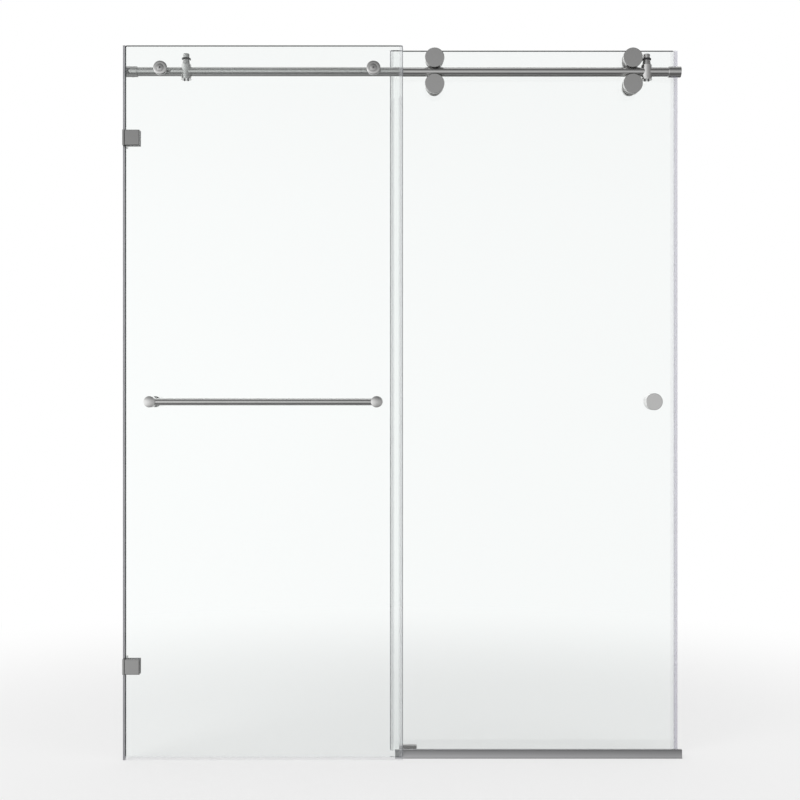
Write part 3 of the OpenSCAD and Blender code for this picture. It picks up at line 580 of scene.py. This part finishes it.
def add_block(name, low, high):
    """A block between two corners"""
    deselect()
    bpy.ops.mesh.primitive_cube_add(size=1, location=(low + high) / 2, scale=high - low)
    piece = bpy.context.object
    piece.name = name
    apply_place(piece)
    return piece


def add_rod(name, start, end, radius, sides=64):
    """A round bar from start to end"""
    deselect()
    start, end = Vector(start), Vector(end)
    turn = (end - start).to_track_quat("Z", "Y").to_euler()
    bpy.ops.mesh.primitive_cylinder_add(
        vertices=sides, radius=radius, depth=(end - start).length,
        location=(start + end) / 2, rotation=turn)
    piece = bpy.context.object
    piece.name = name
    apply_place(piece)
    return piece


def use_modifier(piece, kind, **settings):
    """Adds a modifier and applies it"""
    select_only(piece)
    modifier = piece.modifiers.new(kind.title(), kind)
    for name, value in settings.items():
        setattr(modifier, name, value)
    bpy.ops.object.modifier_apply(modifier=modifier.name)


def drill(piece, cutters):
    """Cuts each cutter out of a piece and removes the cutters"""
    for cutter in cutters:
        use_modifier(piece, "BOOLEAN", operation="DIFFERENCE", object=cutter, solver="EXACT")
        mesh = cutter.data
        bpy.data.objects.remove(cutter)
        bpy.data.meshes.remove(mesh)


def bevel_edges(piece, width, segments, test):
    """Bevels the edges that pass a test on their two ends"""
    select_only(piece)
    bpy.context.tool_settings.mesh_select_mode = (False, True, False)
    mesh = piece.data
    for part in (mesh.vertices, mesh.edges, mesh.polygons):
        part.foreach_set("select", [False] * len(part))
    for edge in mesh.edges:
        first, second = (mesh.vertices[i].co for i in edge.vertices)
        edge.select = test(first, second)
    bpy.ops.object.mode_set(mode="EDIT")
    bpy.ops.mesh.bevel(offset=width, segments=segments, affect="EDGES")
    bpy.ops.object.mode_set(mode="OBJECT")


def turned(name, centre, axis, profile, sides=64):
    """A round piece: profile lists its radii, each with how far it lies along the axis"""
    deselect()
    (radius, along), *steps = profile
    bpy.ops.mesh.primitive_circle_add(
        vertices=sides, radius=radius, fill_type="NGON", location=(0, 0, along))
    piece = bpy.context.object
    piece.name = name
    apply_place(piece)
    bpy.ops.object.mode_set(mode="EDIT")
    bpy.ops.mesh.select_all(action="SELECT")
    for next_radius, next_along in steps:
        bpy.ops.mesh.extrude_region_move(
            TRANSFORM_OT_translate={"value": (0, 0, next_along - along)})
        share = next_radius / radius
        bpy.ops.transform.resize(value=(share, share, 1), center_override=(0, 0, next_along))
        radius, along = next_radius, next_along
    bpy.ops.mesh.select_all(action="SELECT")
    bpy.ops.mesh.normals_make_consistent(inside=False)
    bpy.ops.object.mode_set(mode="OBJECT")
    piece.rotation_euler = Vector(axis).to_track_quat("Z", "Y").to_euler()
    piece.location = centre
    apply_place(piece)
    return piece


def softened(node, width, segments=2):
    """A copy of a CAD node with its sharp corners rounded, which stands for the node"""
    piece = bpy.data.objects.new(f"{node}_softened", frame["nodes"][node].data.copy())
    bpy.context.scene.collection.objects.link(piece)
    select_only(piece)
    bpy.ops.mesh.customdata_custom_splitnormals_clear()
    bpy.ops.object.mode_set(mode="EDIT")
    bpy.ops.mesh.select_all(action="SELECT")
    bpy.ops.mesh.remove_doubles(threshold=MM / 100)
    bpy.ops.mesh.dissolve_limited(angle_limit=math.radians(1))
    bpy.ops.object.mode_set(mode="OBJECT")
    use_modifier(piece, "BEVEL", width=width, segments=segments, limit_method="ANGLE",
                 angle_limit=math.radians(35))
    bpy.ops.object.mode_set(mode="EDIT")
    bpy.ops.mesh.select_all(action="SELECT")
    bpy.ops.mesh.dissolve_degenerate(threshold=MM / 1000)
    bpy.ops.object.mode_set(mode="OBJECT")
    complete(piece, node)


def copied(piece, offset):
    """A copy of a piece, with its own mesh, an offset away"""
    copy = piece.copy()
    copy.data = piece.data.copy()
    bpy.context.scene.collection.objects.link(copy)
    copy.location = offset
    apply_place(copy)
    return copy


def joined(pieces, name):
    """One piece made of several"""
    select_only(pieces[0])
    for piece in pieces:
        piece.select_set(True)
    bpy.ops.object.join()
    pieces[0].name = name
    return pieces[0]


def shade(piece, degrees=40):
    """Smooth shading that keeps edges sharper than an angle"""
    select_only(piece)
    bpy.ops.object.shade_smooth_by_angle(angle=math.radians(degrees))


def body_of(node):
    """The moving body that carries a CAD node"""
    bodies = frame["record"]["behaviour"]["bodies"]
    return next(body for body, nodes in bodies.items() if node in nodes)


def hand_over(piece, node):
    """Puts a finished piece on the body of the CAD node that it stands for, and hides the node"""
    body, slot = body_of(node), node_slots()[node]
    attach(piece, body)
    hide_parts(node)


def dress(piece, node):
    """Gives a piece the finish and body of the CAD node that it stands for"""
    coat(piece, recipe_of(node))
    hand_over(piece, node)


def complete(piece, node):
    """Shades a piece so that its flat faces stay even beside round edges, and dresses it"""
    shade(piece)
    use_modifier(piece, "WEIGHTED_NORMAL", keep_sharp=True)
    dress(piece, node)


# Glass

def panel_holes(node):
    """Centre and radius of each hole through a panel, from the pieces that pass through it"""
    if node == "fixed_glass":
        holes = [(f"standoff_spacer_{side}", WIDE_GLASS_HOLE) for side in SIDES]
        holes += [(f"towel_post_{side}", SMALL_GLASS_HOLE) for side in SIDES]
    else:
        holes = [(f"roller_axle_{corner}", WIDE_GLASS_HOLE) for corner in CORNERS]
        holes += [("knob_stud", SMALL_GLASS_HOLE)]
    for name, radius in holes:
        low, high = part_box(name)
        yield (low + high) / 2, radius
    if node == "fixed_glass":
        yield from clamp_holes()


def clamp_holes():
    """The clamp bolts' holes in the fixed panel: one node holds both bolts, one above the other"""
    low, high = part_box("clamp_bolts")
    head = (high.x - low.x) / 2
    for z in (low.z + head, high.z - head):
        yield Vector(((low.x + high.x) / 2, 0, z)), SMALL_GLASS_HOLE


def edge_kind(face, low, high, fixed):
    """A panel's material slot for one face: holes and the edges under the seals are pale, the
    bottom edges pale as a painted highlight, and the rest painted in shade
    """
    normal, centre = face.normal, face.center
    if abs(normal.y) > 0.95:
        return FACE
    inset = min(centre.x - low.x, high.x - centre.x, centre.z - low.z, high.z - centre.z)
    # painted highlight: the bottom edges take the pale slot
    if inset > 5 * MM or normal.z < -0.3:
        return PALE_EDGE
    # painted shade: the fixed panel's edge at the wall takes the dark slot
    if fixed and normal.x < -0.3:
        return SHADED_GROUND_EDGE
    upright = abs(normal.y) < 0.1 and abs(normal.x) > 0.8
    closing = normal.x > 0.3 and not fixed
    return PALE_EDGE if upright or closing else SHADED_GROUND_EDGE


def build_panel(node):
    """A panel with round corners, ground edges and drilled holes"""
    glass = bpy.context.scene.shower_glass
    low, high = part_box(node)
    panel = add_block(f"{node}_panel", low, high)
    bevel_edges(panel, glass.corner, 6, lambda a, b: abs(a.y - b.y) > 5 * MM)
    past = 10 * MM
    drill(panel, [
        add_rod("hole", (c.x, low.y - past, c.z), (c.x, high.y + past, c.z), radius, sides=48)
        for c, radius in panel_holes(node)
    ])
    use_modifier(panel, "BEVEL", width=glass.arris, segments=1, limit_method="ANGLE",
                 angle_limit=math.radians(50), use_clamp_overlap=False)
    coat(panel, clear_glass, shaded_ground_edge, upright_edge)
    for face in panel.data.polygons:
        face.material_index = edge_kind(face, low, high, node == "fixed_glass")
    shade(panel, 25)
    hand_over(panel, node)


class SHOWER_OT_glass(bpy.types.Operator):
    """Builds the fixed panel and the door panel"""

    bl_idname = "shower.glass"
    bl_label = "Glass panels"

    def execute(self, context):
        build_panel("fixed_glass")
        build_panel("door_glass")
        return {"FINISHED"}


class SHOWER_OT_seals(bpy.types.Operator):
    """Finishes the clear seals, strips, gaskets and pads"""

    bl_idname = "shower.seals"
    bl_label = "Clear seals"

    def execute(self, context):
        for node, slot in sorted(node_slots().items()):
            if slot == "clear_vinyl":
                paint_node(node)
        return {"FINISHED"}


# Rail

def standoff_cap(side):
    """A turned cap with a rounded rim, sunk for the screw's head"""
    node = f"standoff_cap_{side}"
    low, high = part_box(node)
    front, back = (Vector(((low.x + high.x) / 2, y, (low.z + high.z) / 2)) for y in (low.y, high.y))
    rim, reach, recess = (high.x - low.x) / 2, high.y - low.y, STANDOFF_RECESS
    profile = [
        (rim - 0.4 * MM, 0), (rim, 0.4 * MM), (rim, reach - 3.4 * MM),
        (rim - 0.25 * MM, reach - 2.2 * MM), (rim - 0.9 * MM, reach - 1.2 * MM),
        (rim - 1.9 * MM, reach - 0.6 * MM), (rim - 3.4 * MM, reach - 0.3 * MM),
        (rim - 6 * MM, reach), (recess + 0.3 * MM, reach), (recess, reach - 0.3 * MM),
        (recess, reach - STANDOFF_HEAD_HEIGHT)]
    piece = turned(f"{node}_turned", back, (0, -1, 0), profile, sides=96)
    past = Vector((0, MM, 0))
    drill(piece, [add_rod("hole", front - past, back + past, STANDOFF_SHANK + FIT)])
    complete(piece, node)


def set_screw(name, foot, length, radius):
    """A threaded set screw that stands on its foot, with a hexagon socket below"""
    pitch, depth = 0.8 * MM, 0.22 * MM
    key, key_depth = 1.45 * MM, 1.8 * MM
    profile = [(radius - 2 * depth, 0), (radius, 2 * depth)]
    turns = int((length - 2 * depth) / pitch)
    for turn in range(turns):
        start = 2 * depth + turn * pitch
        profile += [(radius, start + 0.15 * pitch), (radius - depth, start + 0.5 * pitch),
                    (radius - depth, start + 0.65 * pitch), (radius, start + pitch)]
    profile += [(radius, length)]
    screw = turned(name, foot, (0, 0, 1), profile, sides=28)
    bottom, top = foot - Vector((0, 0, MM)), foot + Vector((0, 0, key_depth))
    drill(screw, [add_rod("key", bottom, top, key, sides=6)])
    shade(screw)
    return screw


def stop_set_screws():
    """The two set screws under each rail stop"""
    node = "stop_set_screws"
    low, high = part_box(node)
    collars = [sum(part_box(f"stop_collar_{side}"), Vector()) / 2 for side in SIDES]
    places = [
        Vector((collar.x + step * STOP_SCREWS_APART / 2, 0, low.z))
        for collar in collars for step in (-1, 1)
    ]
    first = set_screw(f"{node}_threaded", places[0], high.z - low.z, SET_SCREW)
    rest = [copied(first, place - places[0]) for place in places[1:]]
    dress(joined([first, *rest], f"{node}_threaded"), node)


def socket_screw(name, start, profile, key, depth):
    """A screw along Y whose hexagon socket is painted dark as shade, key across its flats"""
    screw = turned(name, start, (0, 1, 0), profile)
    corner = key / 2 / math.cos(math.pi / 6)
    front, bottom = start - Vector((0, MM, 0)), start + Vector((0, depth, 0))
    drill(screw, [add_rod("key", front, bottom, corner, sides=6)])
    coat(screw, satin_steel, blackened_steel_and_socket_shade)
    # painted shade: the faces inside the socket take the dark screw steel
    for face in screw.data.polygons:
        reach = Vector((face.center.x - start.x, 0, face.center.z - start.z)).length
        face.material_index = int(reach < corner * 1.01 and face.center.y < start.y + depth * 1.01)
    shade(screw)
    return screw


def standoff_screws():
    """The two screws that hold the rail, their heads sunk in the caps"""
    node = "standoff_screws"
    low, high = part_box(node)
    head, shank, length = STANDOFF_HEAD, STANDOFF_SHANK, high.y - low.y
    profile = [
        (head - 0.5 * MM, 0), (head, 0.4 * MM), (head, STANDOFF_HEAD_HEIGHT),
        (shank, STANDOFF_HEAD_HEIGHT + 0.01 * MM), (shank, length - 0.6 * MM),
        (shank - 0.6 * MM, length)]
    start = Vector((low.x + head, low.y, low.z + head))
    first = socket_screw(f"{node}_turned", start, profile, STANDOFF_KEY_FLATS, STANDOFF_KEY_DEPTH)
    second = copied(first, Vector((high.x - low.x - 2 * head, 0, 0)))
    hand_over(joined([first, second], f"{node}_turned"), node)


class SHOWER_OT_rail(bpy.types.Operator):
    """Finishes the rail, its sockets and spacers, and turns the standoff caps and screws"""

    bl_idname = "shower.rail"
    bl_label = "Rail and standoffs"

    def execute(self, context):
        paint_node("header_rail")
        standoff_screws()
        for side in SIDES:
            softened(f"rail_socket_{side}", 0.4 * MM)
            softened(f"standoff_spacer_{side}", 0.3 * MM)
            standoff_cap(side)
        return {"FINISHED"}


class SHOWER_OT_stops(bpy.types.Operator):
    """Rounds the rail stops and their rubber rings, and cuts their threaded set screws"""

    bl_idname = "shower.stops"
    bl_label = "Rail stops"

    def execute(self, context):
        for side in SIDES:
            softened(f"stop_collar_{side}", 0.5 * MM)
            softened(f"stop_bumper_{side}", 1.2 * MM, segments=4)
            paint_node(f"stop_cap_{side}")
        stop_set_screws()
        return {"FINISHED"}


# Fittings on the fixed panel

class SHOWER_OT_clamps(bpy.types.Operator):
    """Rounds the wall clamps' plates and brackets"""

    bl_idname = "shower.clamps"
    bl_label = "Wall clamps"

    def execute(self, context):
        paint_node("clamp_bolts")
        for level in LEVELS:
            softened(f"clamp_plate_{level}", 0.4 * MM)
            softened(f"clamp_bracket_{level}", 0.7 * MM)
        return {"FINISHED"}


class SHOWER_OT_towel_bar(bpy.types.Operator):
    """Finishes the towel bar, its posts and their screws"""

    bl_idname = "shower.towel_bar"
    bl_label = "Towel bar"

    def execute(self, context):
        for name in ("towel_bar", "towel_back_screws", "grub_screws"):
            paint_node(name)
        for side in SIDES:
            softened(f"towel_post_{side}", 0.6 * MM, segments=3)
        return {"FINISHED"}


class SHOWER_OT_threshold(bpy.types.Operator):
    """Rounds the threshold and the door guide"""

    bl_idname = "shower.threshold"
    bl_label = "Threshold and guide"

    def execute(self, context):
        softened("threshold", 0.5 * MM)
        softened("guide_block", 0.8 * MM)
        paint_node("guide_liner")
        return {"FINISHED"}


# Door fittings

def round_rim(radius, reach):
    """The last steps of a turned profile, over a rounded rim on to the end face"""
    rounding = 1.2 * MM
    for step in range(5):
        turn = step * math.pi / 8
        yield radius - rounding * (1 - math.cos(turn)), reach - rounding * (1 - math.sin(turn))


def knob(side, facing):
    """A turned knob with a blind hole for its stud; facing is its end's direction along Y"""
    node = f"knob_{side}"
    low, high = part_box(node)
    middle, radius, reach = (low + high) / 2, (high.x - low.x) / 2, high.y - low.y
    stud = KNOB_STUD + FIT
    profile = [(stud, KNOB_HOLE_DEPTH), (stud, 0), (radius - 0.5 * MM, 0), (radius, 0.5 * MM)]
    profile += round_rim(radius, reach)
    foot = high.y if facing < 0 else low.y
    piece = turned(f"{node}_turned", (middle.x, foot, middle.z), (0, facing, 0), profile, sides=128)
    complete(piece, node)


def roller_cover(corner):
    """A turned disc whose hollow spigot holds the wheel's bearing in"""
    node = f"roller_cover_{corner}"
    low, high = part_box(node)
    bearing_low, bearing_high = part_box(f"roller_bearing_{corner}")
    spigot = (bearing_high.x - bearing_low.x) / 2
    bore = spigot - 1.6 * MM
    middle, radius = (low + high) / 2, (high.x - low.x) / 2
    back = low.y + COVER_THICKNESS
    profile = [
        (bore, 0), (bore, back - high.y), (spigot, back - high.y), (spigot, 0),
        (radius - 0.4 * MM, 0), (radius, 0.4 * MM)]
    profile += round_rim(radius, COVER_THICKNESS)
    piece = turned(f"{node}_turned", (middle.x, back, middle.z), (0, -1, 0), profile, sides=128)
    complete(piece, node)


class SHOWER_OT_door_fittings(bpy.types.Operator):
    """Finishes the knobs, axles, wheels, bearings and covers"""

    bl_idname = "shower.door_fittings"
    bl_label = "Knobs and rollers"

    def execute(self, context):
        for name in ("knob_stud", "bearing_inner_races", "axle_clips"):
            paint_node(name)
        knob("outer", -1)
        knob("inner", 1)
        softened("roller_back_caps", 0.4 * MM)
        for corner in CORNERS:
            paint_node(f"roller_axle_{corner}")
            paint_node(f"roller_bearing_{corner}")
            softened(f"roller_wheel_{corner}", 0.4 * MM)
            roller_cover(corner)
        return {"FINISHED"}


# Studio

def studio_world(scene):
    """White where it is seen, also through glass; metal mirrors soft bands and a light wall"""
    world = bpy.data.worlds.new("studio")
    world.use_nodes = True
    scene.world = world
    tree = Shader(world.node_tree)
    background = world.node_tree.nodes["Background"]
    direction = tree.add("ShaderNodeTexCoord")
    side, depth, height = (tree.axis(direction, index) for index in range(3))
    bands = tree.add("ShaderNodeValToRGB", {"stops": MIRRORED_BANDS}, {0: height * 0.5 + 0.5})
    sides = tree.add("ShaderNodeValToRGB", {"stops": MIRRORED_SIDES}, {0: side * 0.5 + 0.5})
    mirrored = tree.add("ShaderNodeVectorMath", {"operation": "MULTIPLY"}, {0: bands, 1: sides})
    behind, above = tree.fade(depth, 0.3, 0.65), tree.fade(height, 0.05, 0.3)
    wall, fill = scene.shower_studio.back_wall, scene.shower_studio.fill
    mirrored = tree.mix(behind * above, mirrored, (wall,) * 3)
    seen, reflected = tree.view_paths()
    lit = tree.mix(reflected, (fill,) * 3, mirrored)
    tree.feed(background.inputs["Color"], tree.mix(seen, lit, (1, 1, 1)))


def studio_floor(scene):
    """A pale floor under the sill that fades to white, and keeps the shadow near the door"""
    width, below = 14, 0.5 * MM
    shadow_fades, all_white = 0.7, 2.2
    deselect()
    bpy.ops.mesh.primitive_plane_add(size=width, location=(0, 0, -below))
    floor = bpy.context.object
    floor.name = "floor"
    apply_place(floor)
    made = Finish("pale_floor", {"Base Color": (0.8, 0.8, 0.8), "Roughness": 0.9})
    white = made.add("ShaderNodeEmission", sockets={"Color": (1, 1, 1, 1), "Strength": 1.0})
    seen, reflected = made.view_paths()
    oval = made.place((0.8, 1.0, 1.0))
    reach = made.add("ShaderNodeVectorMath", {"operation": "LENGTH"}, {0: oval}, output=1)
    fade = made.fade(reach, shadow_fades, all_white, first=1 - scene.shower_studio.shadow)
    painted = Wire(made, made.surface.outputs[0])
    floor_surface = made.add("ShaderNodeMixShader", sockets={0: seen * fade, 1: painted, 2: white})
    nothing = made.add("ShaderNodeBsdfTransparent")
    surface = made.add("ShaderNodeMixShader", sockets={0: reflected, 1: floor_surface, 2: nothing})
    made.feed(made.tree.nodes["Material Output"].inputs["Surface"], surface)
    floor.data.materials.append(made.material)
    floor.visible_glossy = False


def add_lamp(name, place, target, size, power):
    """A square soft lamp that faces a point"""
    deselect()
    aim = (Vector(target) - Vector(place)).to_track_quat("-Z", "Y").to_euler()
    bpy.ops.object.light_add(type="AREA", location=place, rotation=aim)
    lamp = bpy.context.object
    lamp.name = name
    lamp.data.size = size
    lamp.data.energy = power
    lamp.visible_camera = lamp.visible_glossy = lamp.visible_transmission = False


def add_camera(studio):
    """The camera, square on to the door"""
    deselect()
    bpy.ops.object.camera_add(
        location=(studio.camera_side, -studio.camera_distance, studio.camera_height),
        rotation=(math.radians(90), 0, 0))
    camera = bpy.context.object
    camera.data.lens = 50
    camera.data.sensor_width = 36
    camera.data.shift_x = -0.00125
    camera.data.shift_y = -0.0025
    bpy.context.scene.camera = camera


class SHOWER_OT_studio(bpy.types.Operator):
    """Builds the floor, the lamps, the world and the camera"""

    bl_idname = "shower.studio"
    bl_label = "Studio"

    def execute(self, context):
        studio = context.scene.shower_studio
        context.scene.view_settings.view_transform = "Standard"
        studio_world(context.scene)
        studio_floor(context.scene)
        add_lamp("key_lamp", (-2.4, -2.2, 3.2), (0, 0, 1.0), 1.6, studio.key)
        add_lamp("fill_lamp", (2.6, -1.6, 2.4), (0, 0, 1.0), 1.8, 0.45 * studio.key)
        add_camera(studio)
        return {"FINISHED"}


class SHOWER_PT_panel(bpy.types.Panel):
    """Lists the settings and the steps"""

    bl_label = "Shower door"
    bl_idname = "SHOWER_PT_panel"
    bl_space_type = "VIEW_3D"
    bl_region_type = "UI"
    bl_category = "Shower door"

    def draw(self, context):
        for name, group in SETTINGS.items():
            box = self.layout.box()
            box.label(text=group.__doc__)
            for field in group.__annotations__:
                box.prop(getattr(context.scene, name), field)
        for step in STEPS:
            self.layout.operator(step.bl_idname)


STEPS = (SHOWER_OT_studio, SHOWER_OT_glass, SHOWER_OT_seals, SHOWER_OT_rail, SHOWER_OT_stops,
         SHOWER_OT_clamps, SHOWER_OT_towel_bar, SHOWER_OT_threshold, SHOWER_OT_door_fittings)
CLASSES = (*SETTINGS.values(), *STEPS, SHOWER_PT_panel)


def register():
    for kind in CLASSES:
        bpy.utils.register_class(kind)
    for name, group in SETTINGS.items():
        setattr(bpy.types.Scene, name, bpy.props.PointerProperty(type=group))


def unregister():
    for name in SETTINGS:
        delattr(bpy.types.Scene, name)
    for kind in reversed(CLASSES):
        bpy.utils.unregister_class(kind)


def main():
    register()
    bpy.ops.shower.studio()
    bpy.ops.shower.glass()
    bpy.ops.shower.seals()
    bpy.ops.shower.rail()
    bpy.ops.shower.stops()
    bpy.ops.shower.clamps()
    bpy.ops.shower.towel_bar()
    bpy.ops.shower.threshold()
    bpy.ops.shower.door_fittings()


if __name__ == "__main__":
    main()
